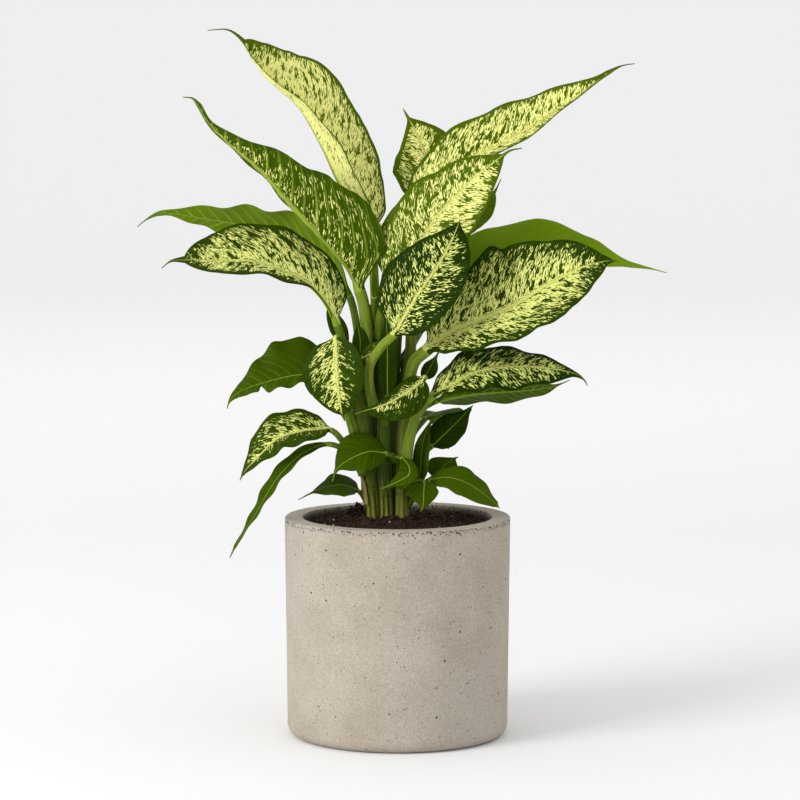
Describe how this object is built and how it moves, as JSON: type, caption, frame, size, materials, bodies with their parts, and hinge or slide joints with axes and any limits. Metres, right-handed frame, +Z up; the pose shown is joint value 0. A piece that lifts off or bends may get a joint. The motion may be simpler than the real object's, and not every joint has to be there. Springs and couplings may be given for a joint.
{
  "type": "potted dieffenbachia",
  "caption": "Dieffenbachia with broad cream-flecked and green leaves on short canes, in a plain cylindrical cast concrete pot filled with soil.",
  "frame": {"origin": "middle of the pot's flat underside", "axes": "+Z up along the pot's axis, -Y towards the front of the plant, +X to the right seen from the front"},
  "size_m": [0.4696, 0.2683, 0.6246],
  "materials": {
    "cast_concrete": "matte",
    "peat_soil": "matte",
    "cane": "satin",
    "leaf_pale": "satin",
    "leaf_flecked": "satin",
    "leaf_green": "satin"
  },
  "bodies": {
    "root": {"pot": "cast_concrete", "soil": "peat_soil", "cane_left": "cane", "cane_front": "cane", "cane_middle": "cane", "cane_right": "cane", "cane_back": "cane", "leaf_top_left": "leaf_pale", "leaf_upper_left": "leaf_flecked", "leaf_left_back": "leaf_green", "leaf_left_variegated": "leaf_flecked", "leaf_left_dark": "leaf_green", "leaf_round": "leaf_flecked", "leaf_low_left": "leaf_flecked", "leaf_long_drooping": "leaf_green", "leaf_centre_dark": "leaf_flecked", "leaf_centre_sliver": "leaf_green", "leaf_front_small": "leaf_green", "leaf_foot_left": "leaf_green", "leaf_front_tiny": "leaf_green", "leaf_foot_front": "leaf_green", "leaf_low_right": "leaf_green", "leaf_low_right_back": "leaf_green", "leaf_upright": "leaf_green", "leaf_right_small": "leaf_green", "leaf_right_middle": "leaf_flecked", "leaf_right_under": "leaf_green", "leaf_right_sheath": "leaf_green", "leaf_lower_centre": "leaf_flecked", "leaf_right_large": "leaf_flecked", "leaf_right_back": "leaf_green", "leaf_centre_pale": "leaf_pale", "leaf_rolled": "leaf_green", "leaf_top_right": "leaf_pale", "leaf_top_small": "leaf_pale", "leaf_centre_back": "leaf_green", "leaf_left_sliver": "leaf_green", "leaf_left_sheath": "leaf_green", "leaf_centre_sheath": "leaf_green", "leaf_rear_high": "leaf_flecked", "leaf_rear_right": "leaf_flecked", "leaf_rear_left": "leaf_flecked", "leaf_rear_low": "leaf_flecked"}
  },
  "joints": []
}
